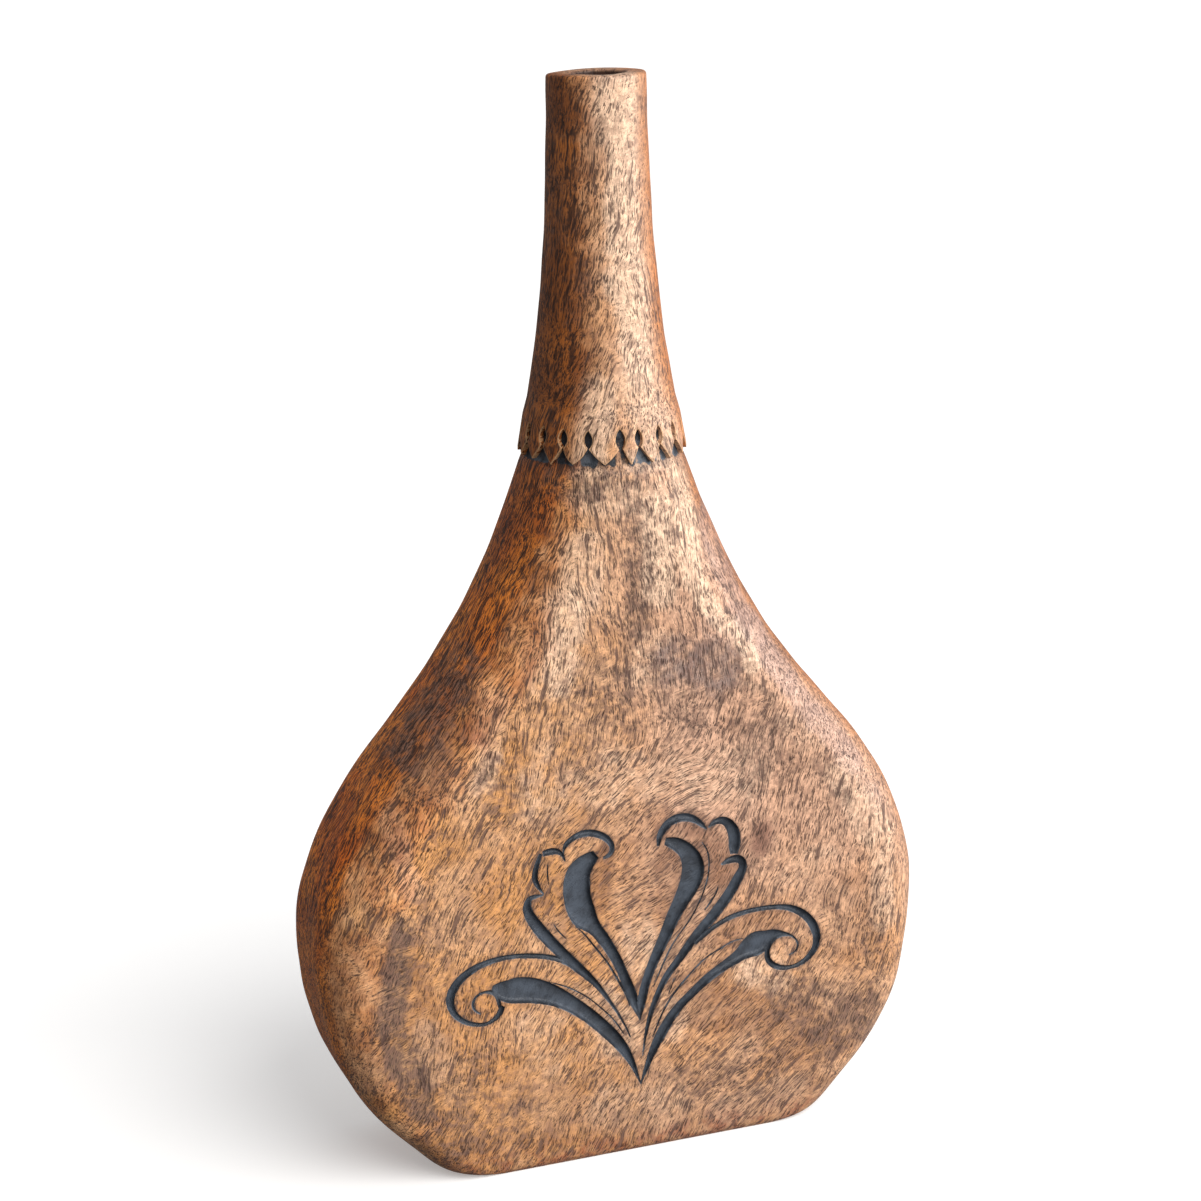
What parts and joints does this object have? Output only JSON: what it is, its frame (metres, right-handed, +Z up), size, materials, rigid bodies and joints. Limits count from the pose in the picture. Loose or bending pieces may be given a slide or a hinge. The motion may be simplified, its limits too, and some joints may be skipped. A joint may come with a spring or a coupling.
{
  "type": "carved wooden bottle vase",
  "caption": "Flat teardrop-shaped carved wooden bottle vase with a long narrow neck, a petal skirt at its foot and a dark carved palmette on the front.",
  "frame": {"origin": "middle of the flat base, on the surface the vase stands on", "axes": "+Z up along the neck, -Y out of the carved front face, +X to the right when looking at the front"},
  "size_m": [0.2382, 0.0622, 0.4001],
  "materials": {
    "body_wood": "satin",
    "neck_wood": "satin",
    "dowel_wood": "matt"
  },
  "bodies": {
    "root": {"body_front_half": "body_wood", "body_back_half": "body_wood", "neck": "neck_wood", "alignment_dowels": "dowel_wood"}
  },
  "joints": []
}
